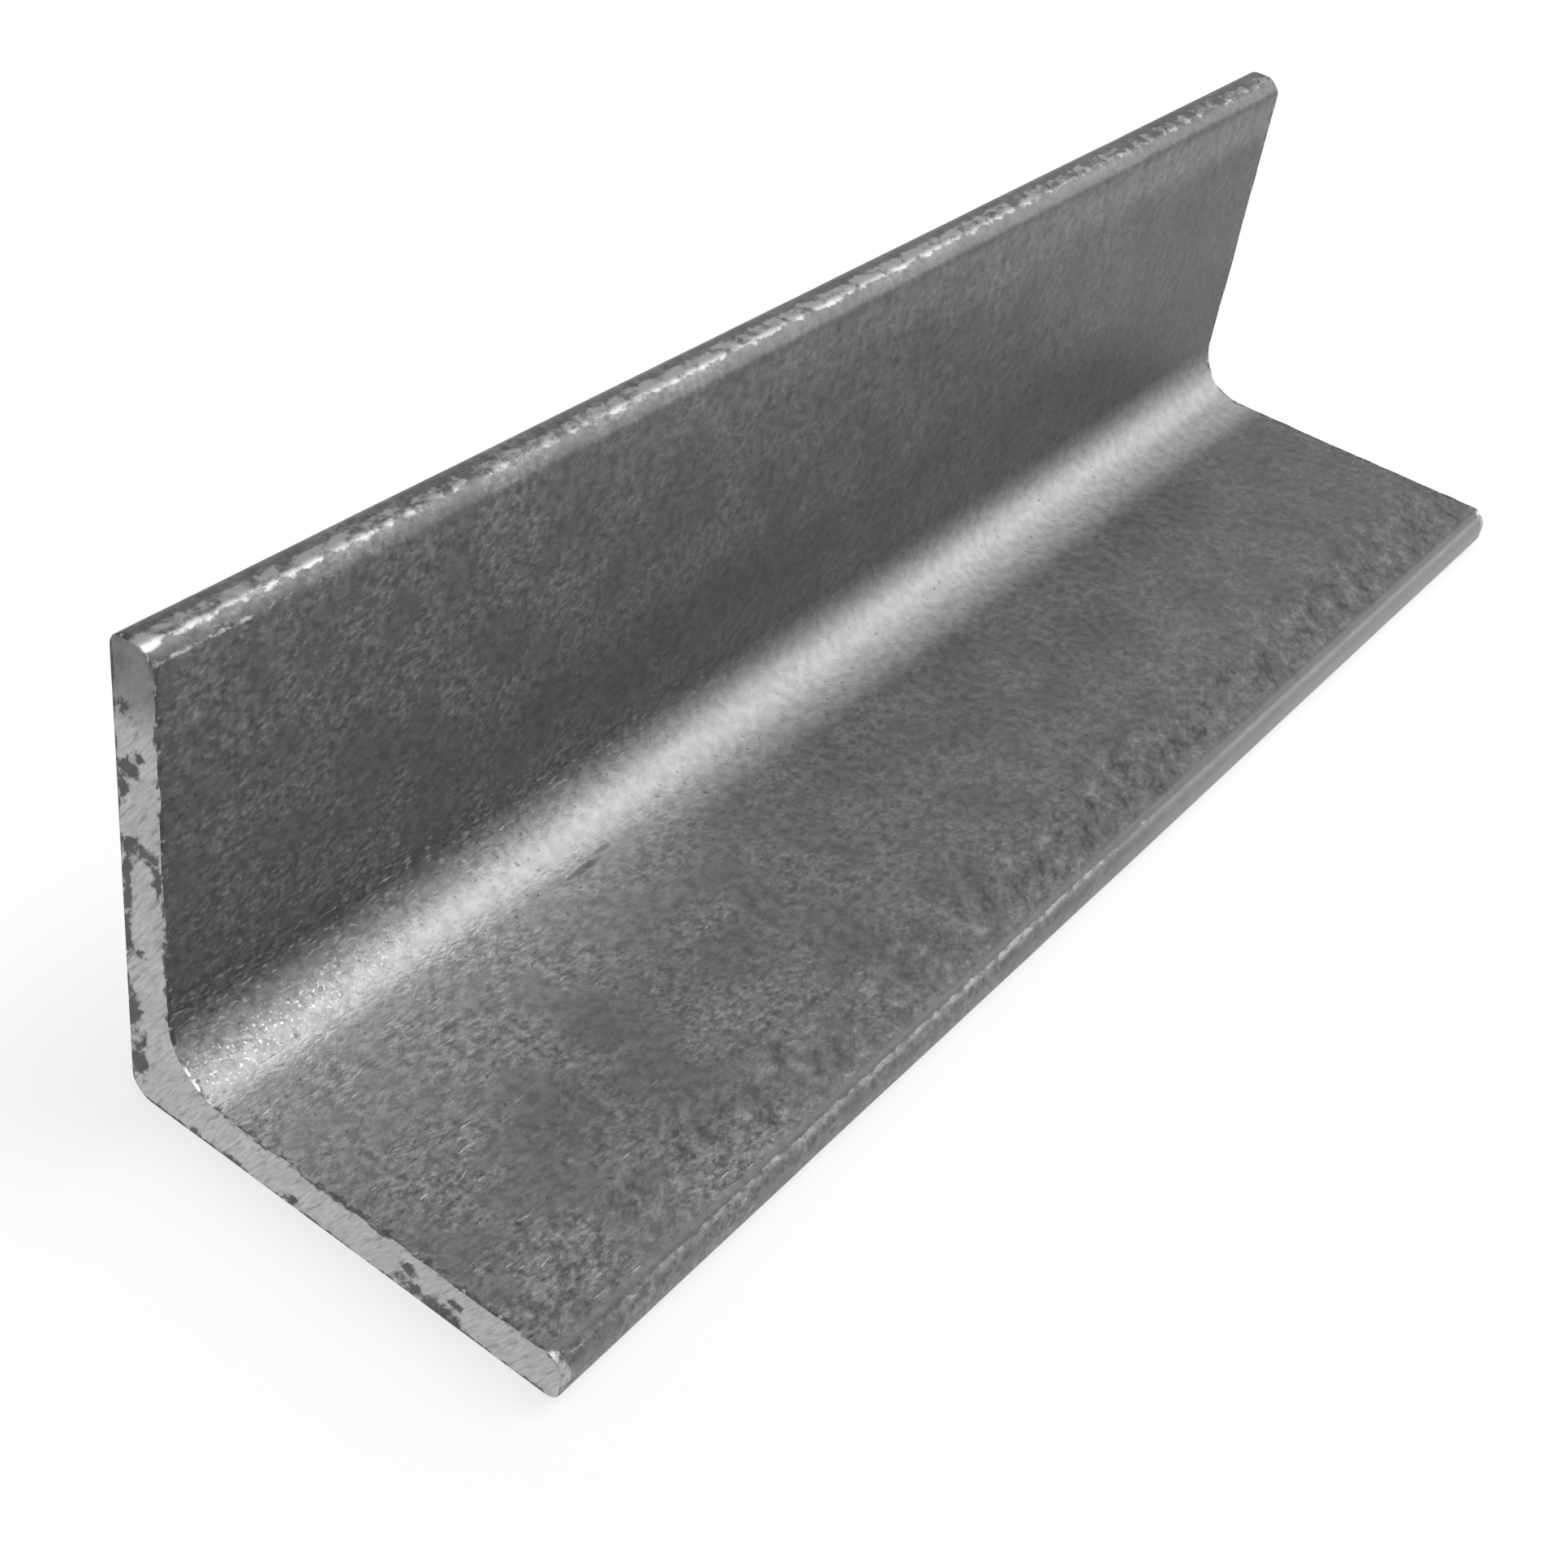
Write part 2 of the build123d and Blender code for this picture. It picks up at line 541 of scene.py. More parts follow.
def new_material(name):
    """A material with one Principled shader: the material, its tree and the shader."""
    material = bpy.data.materials.new(name)
    material.use_nodes = True
    tree = material.node_tree
    tree.nodes.clear()
    surface = put(tree, "ShaderNodeBsdfPrincipled")
    output = put(tree, "ShaderNodeOutputMaterial")
    tree.links.new(surface.outputs[0], output.inputs["Surface"])
    return material, tree, surface


def relief_to_normal(tree, surface, height):
    """Gives the shader a fine relief. height is in millimetres."""
    bump = put(tree, "ShaderNodeBump", {"Strength": 1.0, "Distance": MM, "Height": height})
    tree.links.new(bump.outputs[0], surface.inputs["Normal"])


# ---------------------------------------------------------------- mill scale, the rolled skin's finish

# Places on the unrolled skin, across from the root's middle: the inner toe rounding runs from 41.5 to
# 44.6 mm, the toe's flat to 46.1, the outer rounding to 48.5, and the outside to 94.5 before the heel
UPRIGHT_CREST, UPRIGHT_LOWER_LINE = 44.6 * MM, 42.3 * MM
LYING_LINE, LYING_SHADE, UPRIGHT_SHADE = 42.9 * MM, 42.2 * MM, 42.4 * MM
TOE_FACE, OUTER_TOE, HEEL = 45.6 * MM, 47.3 * MM, 96.4 * MM

# Tones of the scale and of the metal under it; some also serve as painted light, painted shade and painted
# glints
SOOT, BLACK_SCALE_AND_SHADE, BURNT_SCALE, PAINTED_SHADE = 0.05, 0.06, 0.08, 0.085
DARK_SCALE, LIGHT_SCALE, PALE_SCALE_AND_LIGHT, DUSTY_SCALE = 0.13, 0.18, 0.24, 0.27
RUBBED_SCALE, FLECK, RUBBED_METAL_AND_SHEEN, BURNISHED_SHEEN = 0.32, 0.4, 0.42, 0.45
DASH, BURR_AND_GLINT = 0.6, 0.85

# Marks at places of their own: across and along, reach across, reach along, in millimetres, and strength
SMUDGES = [
    (26.0, -75.0, 5.0, 5.0, 1.0),
    (31.0, -66.0, 6.0, 6.5, 0.8),
    (20.5, -64.0, 4.0, 4.5, 0.7),
    (14.5, -44.0, 3.0, 9.0, 0.8),
    (23.0, -50.0, 4.0, 8.0, 0.5),
    (33.0, -33.0, 5.0, 12.0, 0.4),
    (15.0, -20.0, 3.0, 12.0, 0.3),
    (-14.0, -30.0, 6.0, 30.0, 0.5),
    (-60.0, -45.0, 6.0, 14.0, 0.8),
    (-78.0, 10.0, 7.0, 22.0, 0.7),
    (-66.0, 62.0, 5.0, 11.0, 0.6),
    (62.0, 30.0, 7.0, 20.0, 0.7),
    (80.0, -40.0, 8.0, 16.0, 0.8),
]
SCRATCH = [(5.6, -48.0, 0.45, 2.6, 1.0), (4.9, -44.6, 0.35, 1.2, 0.8)]
# where the upright toe's painted highlight starts, bright, at the front end
HIGHLIGHT_START = [(-44.3, -94.3, 0.8, 1.3, 1.0)]


class Skin:
    """Where a point of the rolled skin lies, in metres, with masks of the lying leg and of the front."""

    def __init__(self, tree):
        self.flat = put(tree, "ShaderNodeAttribute", attribute_name="unrolled").outputs["Vector"]
        self.across, self.along, _ = put(tree, "ShaderNodeSeparateXYZ", {0: self.flat}).outputs
        self.from_root = calc(tree, "ABSOLUTE", self.across)
        self.from_end = calc(tree, "SUBTRACT", LENGTH / 2, calc(tree, "ABSOLUTE", self.along))
        self.lying = fade(tree, self.across, -1 * MM, 1 * MM)
        self.front = fade(tree, self.along, 10 * MM, -85 * MM)
        self.drawn = stretched(tree, self.flat, scale=(1.0, 0.7, 1.0))


def ovals(tree, skin, places):
    """Soft ovals on the unrolled skin, 0 to 1: the highest of them."""
    total = 0.0
    for middle_across, middle_along, reach_across, reach_along, strength in places:
        a = add(tree, -middle_across / reach_across, skin.across, 1 / (reach_across * MM))
        b = add(tree, -middle_along / reach_along, skin.along, 1 / (reach_along * MM))
        away = add(tree, times(tree, b, b), a, a)
        total = highest(tree, total, fade(tree, away, 1.6, 0.1, 0.0, strength))
    return total


def scale_ground(tree, skin, grain):
    """The scale's tooth and clouds, its smudges, and how rough it is: most in clouds, at the front."""
    tooth = use(tree, grain, Vector=skin.drawn, Grains=2000.0, Mottles=1000.0)
    cloud = use(tree, grain, Vector=skin.flat, Grains=750.0, Mottles=120.0)
    smudge = times(tree, ovals(tree, skin, SMUDGES), fade(tree, cloud["Grain"], 0.3, 0.6, 0.5, 1.0))
    rough = fade(tree, cloud["Mottle"], 0.2, 0.75, 0.15, 1.0)
    rough = times(tree, rough, add(tree, 0.25, skin.front, 0.75), add(tree, 1.0, smudge, -0.6))
    return tooth, cloud, smudge, rough


def flecks_and_specks(tree, skin, marks, rough):
    """Pale flecks drawn out along the front, and dark specks all over with a scratch by the root."""
    streaky = stretched(tree, skin.flat, scale=(1.0, 0.3, 1.0))
    flecks = use(tree, marks, Vector=streaky, Marks=1500.0, Amount=0.16)["Mark"]
    flecks = times(tree, flecks, rough, fade(tree, skin.along, 10 * MM, -60 * MM))
    apart = stretched(tree, skin.flat, shift=(0.043, 0.0, 0.0))
    specks = use(tree, marks, Vector=apart, Marks=1300.0, Amount=0.13)["Mark"]
    return flecks, highest(tree, specks, ovals(tree, skin, SCRATCH))


def burnished_root_and_sheen(tree, skin):
    """The fillet rolled smooth, the lying flat rubbed next to it, wider at the front, and the coarse front. The
    fillet and that band also carry a painted highlight and its tail.
    """
    root = line_at(tree, skin.across, 2 * MM, 3 * MM, 7.8 * MM)
    reach = fade(tree, skin.along, -60 * MM, -85 * MM, 26 * MM, 34 * MM)
    sheen_beside_root = times(tree, fade(tree, skin.across, reach, 3 * MM), fade(tree, skin.along, -10 * MM, -60 * MM))
    sheen_beside_root = times(tree, calc(tree, "POWER", sheen_beside_root, 1.3), skin.lying)
    coarse = fade(tree, skin.from_root, 14 * MM, 6 * MM)
    coarse = times(tree, coarse, fade(tree, skin.along, -15 * MM, -80 * MM))
    return root, sheen_beside_root, coarse


def dragged_marks(tree, skin, marks):
    """Short bright dashes and dark nicks along the root's upper edge, where the rolls dragged."""
    drag = stretched(tree, skin.flat, scale=(1.0, 0.45, 1.0))
    nicked = stretched(tree, drag, shift=(0.031, 0.017, 0.0))
    dragged = line_at(tree, skin.across, -4.5 * MM, 0.5 * MM, 5 * MM)
    dragged = times(tree, dragged, fade(tree, skin.along, 5 * MM, -60 * MM))
    dashes = use(tree, marks, Vector=drag, Marks=1600.0, Amount=0.32)["Mark"]
    nicks = use(tree, marks, Vector=nicked, Marks=1400.0, Amount=0.34)["Mark"]
    return times(tree, dashes, dragged), times(tree, nicks, dragged)


def end_crumbs(tree, skin, patches):
    """Crumbs of black scale in the skin's last millimetre at a sawn end."""
    cover = fade(tree, skin.from_end, 1.2 * MM, 0.1 * MM, 0.0, 0.62)
    return use(tree, patches, Vector=skin.flat, Patches=900.0, Cover=cover, Softness=0.2)["Patch"]


def root_glitter(tree, skin, marks, patches):
    """Painted glints: a bright rim where the burr on the root catches the light at a sawn end, and painted
    sparks of highlight on the root's front.
    """
    rim = fade(tree, skin.from_end, 0.45 * MM, 0.2 * MM, 0.0, 0.85)
    rim = times(tree, rim, line_at(tree, skin.across, 0.9 * MM, 0.6 * MM, 2.4 * MM))
    glint = use(tree, patches, Vector=skin.flat, Patches=1100.0, Cover=rim, Softness=0.3)["Patch"]
    sparks = use(tree, marks, Vector=skin.flat, Marks=2500.0, Amount=0.3)["Mark"]
    sparks = times(tree, sparks, line_at(tree, skin.across, 0.8 * MM, 0.5 * MM, 3.5 * MM))
    return highest(tree, glint, times(tree, sparks, fade(tree, skin.along, -58 * MM, -88 * MM, 0.0, 0.75)))


def loose_burr(tree, skin, marks, patches):
    """Half-bright burr at a sawn end, bare metal with painted glints: loose bits all round, and a lump at the
    lying toe's corner.
    """
    loose = use(tree, marks, Vector=skin.flat, Marks=1300.0, Amount=0.3)["Mark"]
    loose = times(tree, loose, fade(tree, skin.from_end, 0.8 * MM, 0.3 * MM))
    corner = line_at(tree, skin.across, 44 * MM, 1.5 * MM, 3.5 * MM)
    corner = times(tree, corner, fade(tree, skin.from_end, 2.2 * MM, 0.2 * MM, 0.0, 0.8))
    lump = use(tree, patches, Vector=skin.flat, Patches=900.0, Cover=corner, Softness=0.3)["Patch"]
    return times(tree, highest(tree, loose, lump), 0.5)


def toe_feathers(tree, skin):
    """Ragged light and dark marks in the last centimetre before each toe, and their relief.

    They run across the bar, and on the lying leg they lean towards the front.
    """
    by_toe = times(tree, fade(tree, skin.from_root, 29 * MM, 37 * MM), add(tree, 0.4, skin.lying, 0.6))
    by_toe = times(tree, by_toe, fade(tree, skin.from_root, 42.6 * MM, 41.6 * MM))
    lean = add(tree, skin.along, highest(tree, skin.across, 0.0), 0.8)
    place = put(tree, "ShaderNodeCombineXYZ", {0: times(tree, skin.across, 0.95), 1: lean}).outputs[0]
    feather = noise(tree, place, 340.0, 8.0, 0.74, 0.2)
    light = times(tree, fade(tree, feather, 0.52, 0.64), by_toe)
    dark = times(tree, fade(tree, feather, 0.5, 0.37), by_toe)
    return light, dark, times(tree, feather, by_toe)


def toe_lines(tree, skin):
    """Where metal shows along the toes: a crest and a lower line on the upright, an edge on the lying one. The
    crest is also a painted highlight, dimmer towards the back.
    """
    slow = noise(tree, stretched(tree, skin.flat, scale=(0.0, 1.0, 0.0)), 110.0, 3.0)
    wander = add(tree, -0.4 * MM, slow, 0.8 * MM)
    # the crest's painted highlight: dimmer towards the back, with a dip near the front
    strength = times(tree, fade(tree, skin.along, 60 * MM, 15 * MM, 0.65, 1.0), 0.9)
    strength = times(tree, strength, add(tree, 1.0, line_at(tree, skin.along, -55 * MM, 5 * MM, 22 * MM), -0.3))
    crest = line_at(tree, skin.across, calc(tree, "SUBTRACT", wander, UPRIGHT_CREST), 0.5 * MM, 1.5 * MM)
    lower = line_at(tree, skin.across, calc(tree, "SUBTRACT", wander, UPRIGHT_LOWER_LINE), 0.08 * MM, 0.34 * MM)
    lower = times(tree, lower, fade(tree, skin.along, -74 * MM, -84 * MM, 0.0, 0.6))
    edge = line_at(tree, skin.across, calc(tree, "ADD", wander, LYING_LINE), 0.15 * MM, 0.55 * MM)
    edge = times(tree, edge, fade(tree, skin.along, -92 * MM, -78 * MM))
    edge = times(tree, edge, fade(tree, skin.along, 25 * MM, -20 * MM, 0.0, 0.78))
    return highest(tree, times(tree, crest, strength), lower, edge)


def worn_metal_and_highlight(tree, skin, patches):
    """Metal showing in clumps along the toes' lines, the outer toe roundings and the heel; on the upright toe's
    crest it is also a painted highlight.
    """
    outer_toes = line_at(tree, skin.from_root, OUTER_TOE, 0.5 * MM, 1.3 * MM)
    heel = line_at(tree, skin.from_root, HEEL, 0.4 * MM, 1.7 * MM)
    outside = fade(tree, skin.from_root, 46.6 * MM, 47.2 * MM, 0.0, 0.5)
    corners = times(tree, highest(tree, heel, outer_toes), outside)
    rub = times(tree, highest(tree, toe_lines(tree, skin), corners), 0.95)
    return use(tree, patches, Vector=skin.drawn, Patches=750.0, Cover=rub, Softness=0.4)["Patch"]


def toe_shading(tree, skin):
    """A painted shade line where each toe's rounding starts, and the toes' faces painted paler towards the back
    as a painted reflection.
    """
    upright = times(tree, line_at(tree, skin.across, -UPRIGHT_SHADE, 0.2 * MM, 1.7 * MM), 0.5)
    shade = highest(tree, line_at(tree, skin.across, LYING_SHADE, 0.3 * MM, 0.9 * MM), upright)
    # painted reflection: the toe faces and outer roundings, paler towards the back
    face = line_at(tree, skin.across, TOE_FACE, 2.5 * MM, 3.6 * MM)
    return shade, times(tree, face, fade(tree, skin.along, -30 * MM, 30 * MM, 0.0, 0.8))


def broad_tones(tree, skin, cloud):
    """The scale's broad tones, with painted light: the lying leg's front painted paler, painted shade low on
    the upright by the root and at the back, and a painted sheen under the upright toe.
    """
    colour = mix(tree, cloud["Mottle"], grey(DARK_SCALE), grey(LIGHT_SCALE))
    # painted light: the lying leg's front made paler
    colour = coat(tree, colour, times(tree, skin.front, skin.lying), 0.3, PALE_SCALE_AND_LIGHT)
    # painted shade: darker at the back, most on the upright, and low on the upright by the root
    back = fade(tree, skin.across, 1 * MM, -6 * MM, 0.3, 0.75)
    back = times(tree, back, fade(tree, skin.along, 30 * MM, 80 * MM, 0.0, 0.95))
    low = line_at(tree, skin.across, -10 * MM, 3 * MM, 12 * MM)
    colour = coat(tree, colour, add(tree, times(tree, back, 0.7), low, 0.38), 1.0, PAINTED_SHADE)
    # painted sheen: a paler band under the upright toe, stronger towards the back
    painted_sheen = line_at(tree, skin.across, -39 * MM, 0.5 * MM, 5 * MM)
    painted_sheen = times(tree, painted_sheen, fade(tree, skin.along, -70 * MM, -20 * MM))
    return coat(tree, colour, painted_sheen, fade(tree, skin.along, 30 * MM, 70 * MM, 0.4, 0.7), PALE_SCALE_AND_LIGHT)


def unevenness(tree, skin, tooth, cloud, rough, root):
    """A factor round 1 that mottles the scale, least in the burnished root with its painted highlight, with
    long lines outside.
    """
    contrast = add(tree, 0.65, skin.lying, -0.2)
    contrast = add(tree, contrast, rough, add(tree, 0.5, skin.lying, 0.15))
    smooth = times(tree, root, fade(tree, skin.along, -80 * MM, 30 * MM, 0.25, 0.7))
    mottling = times(tree, fade(tree, tooth["Mottle"], 0.0, 1.0, -0.22, 0.22), contrast)
    mottling = times(tree, mottling, add(tree, 1.0, smooth, -1.0))
    factor = add(tree, fade(tree, cloud["Grain"], 0.3, 0.7, 0.86, 1.06), mottling)
    rolled_lines = noise(tree, stretched(tree, skin.flat, scale=(1.0, 0.03, 1.0)), 420.0, 4.0, 0.6)
    outside = fade(tree, skin.from_root, 47 * MM, 50 * MM)
    return add(tree, factor, outside, fade(tree, rolled_lines, 0.3, 0.7, -0.16, 0.16))


def mill_scale(grain, marks, patches):
    """Dark rolling scale: a lengthwise tooth, flecks, soft smudges, a burnished root and rubbed toes. Painted
    light too: highlights in the root's and the upright toe's colour, painted reflection on the toe faces,
    painted shade at the back, low on the upright and at the toes, and painted glints at the sawn ends.
    """
    material, tree, surface = new_material("mill_scale")
    skin = Skin(tree)
    tooth, cloud, smudge, rough = scale_ground(tree, skin, grain)
    flecks, specks = flecks_and_specks(tree, skin, marks, rough)
    root, sheen_beside_root, coarse = burnished_root_and_sheen(tree, skin)
    dashes, nicks = dragged_marks(tree, skin, marks)
    light_feather, dark_feather, feather_relief = toe_feathers(tree, skin)
    worn = worn_metal_and_highlight(tree, skin, patches)
    shade, painted_toe_reflection = toe_shading(tree, skin)
    # painted glints and the bright start of the toe's painted highlight, with the burr
    burr = highest(tree, root_glitter(tree, skin, marks, patches), ovals(tree, skin, HIGHLIGHT_START))
    burr = highest(tree, burr, loose_burr(tree, skin, marks, patches))

    colour = broad_tones(tree, skin, cloud)
    colour = coat(tree, colour, fade(tree, tooth["Grain"], 0.5, 0.75, 0.0, 0.5), rough, RUBBED_SCALE)
    colour = coat(tree, colour, fade(tree, tooth["Grain"], 0.48, 0.25, 0.0, 0.5), rough, BLACK_SCALE_AND_SHADE)
    colour = coat(tree, colour, smudge, 0.5, BURNT_SCALE)
    colour = coat(tree, colour, light_feather, 0.7, DUSTY_SCALE)
    colour = coat(tree, colour, dark_feather, fade(tree, skin.along, -50 * MM, 10 * MM, 0.55, 0.8), BLACK_SCALE_AND_SHADE)
    # painted highlight: the lying flat next to the root made paler as the highlight's tail, partly rubbed
    colour = coat(tree, colour, sheen_beside_root, 0.83, RUBBED_METAL_AND_SHEEN)
    # painted highlight: the fillet's colour raised, more on its lying side, partly as burnish
    fillet = mix(tree, fade(tree, skin.across, 2.5 * MM, 6 * MM), grey(0.28), grey(BURNISHED_SHEEN))
    colour = coat(tree, colour, root, 0.85, fillet)
    colour = coat(tree, colour, dashes, 0.4, DASH)
    colour = coat(tree, colour, nicks, 0.4, BURNT_SCALE)
    colour = coat(tree, colour, flecks, 0.3, FLECK)
    colour = scaled(tree, colour, unevenness(tree, skin, tooth, cloud, rough, root))
    colour = coat(tree, colour, specks, 0.55, SOOT)
    # painted reflection: the toes' faces paler, less on the inner rounding
    face = mix(tree, fade(tree, skin.across, 42.5 * MM, 44.5 * MM), grey(0.2), grey(0.3))
    colour = coat(tree, colour, painted_toe_reflection, 0.9, face)
    # painted shade: the dark line where each toe's rounding starts
    colour = coat(tree, colour, shade, 0.75, BLACK_SCALE_AND_SHADE)
    colour = coat(tree, colour, end_crumbs(tree, skin, patches), 0.7, BLACK_SCALE_AND_SHADE)
    # burr, bare metal and painted glints
    colour = coat(tree, colour, burr, 0.8, BURR_AND_GLINT)
    metal = mix(tree, skin.lying, grey(RUBBED_METAL_AND_SHEEN), grey(PALE_SCALE_AND_LIGHT))
    # worn metal, and a painted highlight along the upright toe's crest
    colour = coat(tree, colour, worn, 0.9, metal)
    tree.links.new(colour, surface.inputs["Base Color"])

    dull = add(tree, 0.42, tooth["Mottle"], 0.06)
    dull = add(tree, dull, smudge, 0.05)
    tree.links.new(add(tree, dull, worn, -0.06), surface.inputs["Roughness"])
    surface.inputs["Metallic"].default_value = 0.8

    depth = add(tree, add(tree, 0.008, rough, 0.045), coarse, 0.04)
    height = times(tree, tooth["Grain"], depth, add(tree, 0.6, skin.lying, 0.4))
    height = add(tree, height, cloud["Grain"], 0.045)
    height = add(tree, height, flecks, 0.03)
    height = add(tree, height, calc(tree, "SUBTRACT", dashes, nicks), 0.03)
    height = add(tree, height, feather_relief, 0.04)
    relief_to_normal(tree, surface, height)
    return material


# ---------------------------------------------------------------- sawn steel, the ends' finish

CUT_METAL, BRIGHT_CUT, STROKE, DEEP_STROKE, TOP_CUT = 0.46, 0.54, 0.33, 0.22, 0.14
BLACK_OXIDE, BROWN_OXIDE = 0.07, 0.13
ROOT_END = THICKNESS + ROOT_RADIUS


def oxide_cover(tree, x, z):
    """How far old oxide covers a sawn face: in its spots, along the outer faces and along the inner flats."""
    spots = put(tree, "ShaderNodeAttribute", attribute_name="oxide").outputs["Fac"]
    from_outside = calc(tree, "ADD", x, LEG / 2)
    outer = calc(tree, "MINIMUM", from_outside, z)
    rim = fade(tree, outer, 0.75 * MM, 0.1 * MM, 0.0, 0.78)
    on_flats = fade(tree, highest(tree, from_outside, z), ROOT_END - 1 * MM, ROOT_END, 0.0, 0.6)
    inner_rim = times(tree, fade(tree, outer, THICKNESS - 0.7 * MM, THICKNESS), on_flats)
    return highest(tree, times(tree, spots, 1.05), rim, inner_rim)


def sawn_steel(grain, marks, patches):
    """Bright sawn metal with slanted strokes, old oxide along the outer faces, and darker towards the top."""
    material, tree, surface = new_material("sawn_steel")
    here = put(tree, "ShaderNodeTexCoord").outputs["Object"]
    x, _, z = put(tree, "ShaderNodeSeparateXYZ", {0: here}).outputs
    turned = stretched(tree, here, turn=(0.0, SAW_ANGLE, 0.0))
    strokes = stretched(tree, turned, scale=(0.15, 1.0, 1.0))
    fingers = stretched(tree, turned, scale=(0.5, 1.0, 1.0))

    saw = use(tree, grain, Vector=strokes, Grains=3600.0, Mottles=900.0)
    cuts = use(tree, marks, Vector=strokes, Marks=2000.0, Amount=0.34)["Mark"]
    tone = use(tree, grain, Vector=here, Grains=2500.0, Mottles=250.0)
    cover = oxide_cover(tree, x, z)
    dark = use(tree, patches, Vector=fingers, Patches=700.0, Cover=cover, Softness=0.3)["Patch"]
    # darker towards the top of the upright leg's end
    top = fade(tree, z, LEG - 10 * MM, LEG - 4 * MM)
    top = times(tree, top, fade(tree, tone["Mottle"], 0.0, 0.8, 1.0, 0.75))

    colour = mix(tree, tone["Mottle"], grey(CUT_METAL), grey(BRIGHT_CUT))
    colour = mix(tree, fade(tree, saw["Grain"], 0.36, 0.62, 0.6, 0.0), colour, grey(STROKE))
    colour = coat(tree, colour, cuts, 0.55, DEEP_STROKE)
    colour = mix(tree, top, colour, grey(TOP_CUT))
    colour = coat(tree, colour, dark, 0.9, mix(tree, saw["Mottle"], grey(BLACK_OXIDE), grey(BROWN_OXIDE)))
    tree.links.new(colour, surface.inputs["Base Color"])

    dull = add(tree, 0.4, saw["Mottle"], 0.08)
    tree.links.new(add(tree, dull, dark, 0.2), surface.inputs["Roughness"])
    surface.inputs["Metallic"].default_value = 0.9

    height = times(tree, saw["Grain"], 0.02)
    height = add(tree, height, cuts, -0.012)
    height = add(tree, height, dark, -0.02)
    relief_to_normal(tree, surface, height)
    return material


# ---------------------------------------------------------------- the studio

FLOOR_COLOUR = 0.9
FLOOR_REACH, FLOOR_GAP = 4.0, 0.05 * MM  # half the sheet's width, and how far it lies under the bar
SHADOW_REACH, SHADOW_WHITE = 0.04, 0.75  # where the floor is plain white, and how white it is by the bar
WORLD_LOW, WORLD_HIGH = 0.05, 0.8
BACKDROP_LOW, BACKDROP_HIGH = 0.3, 0.4  # the white backdrop ends between these heights of a direction


def white_light(tree):
    """Which rays see white: the camera's, and those mirrored or let through."""
    path = put(tree, "ShaderNodeLightPath").outputs
    mirrored = highest(tree, path["Is Glossy Ray"], path["Is Transmission Ray"])
    return path["Is Camera Ray"], mirrored


def studio_world():
    """Soft light from all round that grows evenly from WORLD_LOW at the horizon to WORLD_HIGH overhead.

    Seen directly or mirrored, the low part is a plain white backdrop that carries on from the floor.
    """
    world = bpy.data.worlds.new("studio")
    world.use_nodes = True
    tree = world.node_tree
    tree.nodes.clear()
    towards = put(tree, "ShaderNodeTexCoord").outputs["Generated"]
    height = put(tree, "ShaderNodeSeparateXYZ", {0: towards}).outputs[2]
    levels = {"Value": height, "To Min": WORLD_LOW, "To Max": WORLD_HIGH}
    level = put(tree, "ShaderNodeMapRange", levels).outputs[0]
    backdrop = times(tree, highest(tree, *white_light(tree)), fade(tree, height, BACKDROP_HIGH, BACKDROP_LOW))
    sky = put(tree, "ShaderNodeBackground", {"Color": grey(1.0), "Strength": level})
    white = put(tree, "ShaderNodeBackground", {"Color": grey(1.0), "Strength": 1.0})
    both = put(tree, "ShaderNodeMixShader", {0: backdrop, 1: sky.outputs[0], 2: white.outputs[0]})
    tree.links.new(both.outputs[0], put(tree, "ShaderNodeOutputWorld").inputs[0])
    bpy.context.scene.world = world


def away_from_bar(tree):
    """Distance on the floor from the bar's outline: the length of max(|place| - half the bar, 0)."""
    place = put(tree, "ShaderNodeTexCoord").outputs["Object"]
    nothing, half_bar = (0.0, 0.0, 0.0), (LEG / 2, LENGTH / 2, 1.0)
    for operation, other in (("ABSOLUTE", nothing), ("SUBTRACT", half_bar), ("MAXIMUM", nothing)):
        place = put(tree, "ShaderNodeVectorMath", {0: place, 1: other}, operation=operation).outputs[0]
    return put(tree, "ShaderNodeVectorMath", {0: place}, operation="LENGTH").outputs["Value"]


def pale_floor():
    """A flat sheet under the bar. It takes the bar's shadow close by and turns plain white further off."""
    r, drop = FLOOR_REACH, -FLOOR_GAP
    mesh = bpy.data.meshes.new("floor")
    mesh.from_pydata([(-r, -r, drop), (r, -r, drop), (r, r, drop), (-r, r, drop)], [], [(0, 1, 2, 3)])
    floor = bpy.data.objects.new("floor", mesh)
    bpy.context.scene.collection.objects.link(floor)

    material, tree, surface = new_material("pale_floor")
    surface.inputs["Base Color"].default_value = grey(FLOOR_COLOUR)
    surface.inputs["Roughness"].default_value = 0.9
    surface.inputs["Specular IOR Level"].default_value = 0.0
    seen, mirrored = white_light(tree)
    seen = times(tree, seen, fade(tree, away_from_bar(tree), 0.0, SHADOW_REACH, SHADOW_WHITE, 1.0))
    white = put(tree, "ShaderNodeEmission", {"Color": grey(1.0), "Strength": 1.0})
    share = highest(tree, mirrored, seen)
    both = put(tree, "ShaderNodeMixShader", {0: share, 1: surface.outputs[0], 2: white.outputs[0]})
    output = next(node for node in tree.nodes if node.type == "OUTPUT_MATERIAL")
    tree.links.new(both.outputs[0], output.inputs["Surface"])
    mesh.materials.append(material)


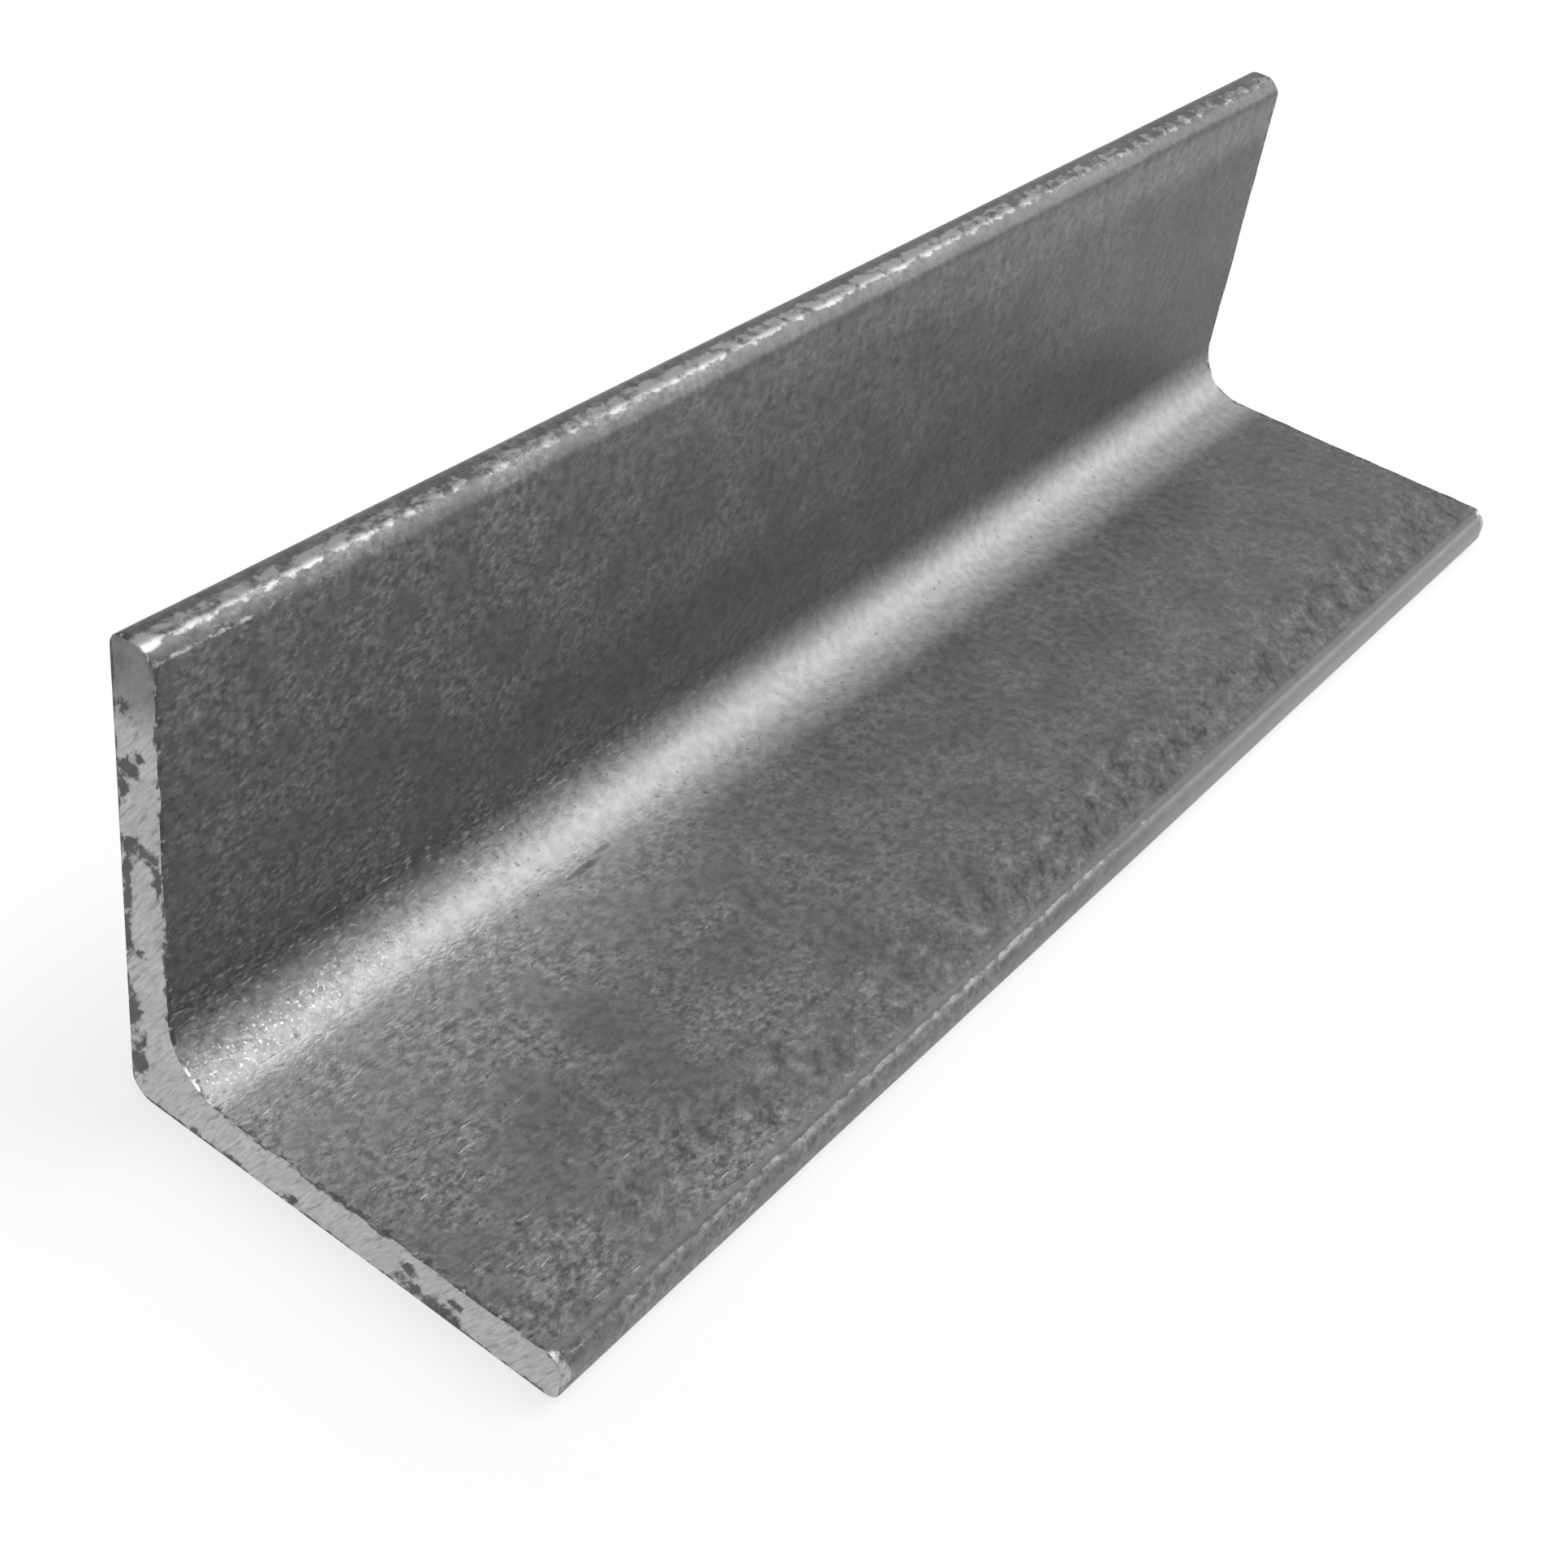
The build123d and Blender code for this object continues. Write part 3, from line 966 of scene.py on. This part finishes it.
def softbox(name, azimuth, elevation, distance, width, height, brightness):
    """A rectangular lamp aimed at the bar. azimuth turns from +Y to +X; brightness 1 is a white sheet."""
    a, e = math.radians(azimuth), math.radians(elevation)
    towards = Vector((math.sin(a) * math.cos(e), math.cos(a) * math.cos(e), math.sin(e)))
    lamp = bpy.data.lights.new(name, "AREA")
    lamp.shape = "RECTANGLE"
    lamp.size, lamp.size_y = width, height
    lamp.energy = brightness * math.pi * width * height
    box = bpy.data.objects.new(name, lamp)
    box.location = towards * distance
    box.rotation_euler = towards.to_track_quat("Z", "Y").to_euler()
    box.visible_camera = False
    bpy.context.scene.collection.objects.link(box)


# Where the camera stands: it looks at AIM from this azimuth, elevation and distance, rolled a little
AIM = Vector((-0.01726, -0.00506, -0.01071))
AZIMUTH, ELEVATION, ROLL = (math.radians(a) for a in (30.555, 37.727, 9.775))
CAMERA_DISTANCE = 0.26994
SENSOR, LENS = 36.0, 53.079  # mm


def stand_camera():
    """Back axis = (sin a cos e, -cos a cos e, sin e); right and up are turned about it by the roll."""
    a, e = AZIMUTH, ELEVATION
    back = Vector((math.sin(a) * math.cos(e), -math.cos(a) * math.cos(e), math.sin(e)))
    right = Vector((0, 0, 1)).cross(back).normalized()
    up = back.cross(right)
    c, s = math.cos(ROLL), math.sin(ROLL)
    right, up = right * c + up * s, up * c - right * s
    data = bpy.data.cameras.new("camera")
    data.sensor_width, data.lens = SENSOR, LENS
    data.clip_start, data.clip_end = 0.01, 20.0
    camera = bpy.data.objects.new("camera", data)
    turned = Matrix((right, up, back)).transposed().to_4x4()
    camera.matrix_world = Matrix.Translation(AIM + back * CAMERA_DISTANCE) @ turned
    bpy.context.scene.collection.objects.link(camera)
    bpy.context.scene.camera = camera


# ---------------------------------------------------------------- putting it together

bpy.context.scene.view_settings.view_transform = "Standard"
stand_camera()
studio_world()
pale_floor()
softbox("key_softbox", azimuth=30, elevation=50, distance=0.65, width=0.5, height=0.9, brightness=3.0)

shared = steel_grain(), short_marks(), ragged_patches()
angle = make_piece("rolled_angle", *rolled_angle(), [mill_scale(*shared), sawn_steel(*shared)])
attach(angle, "root")
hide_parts("angle_section")
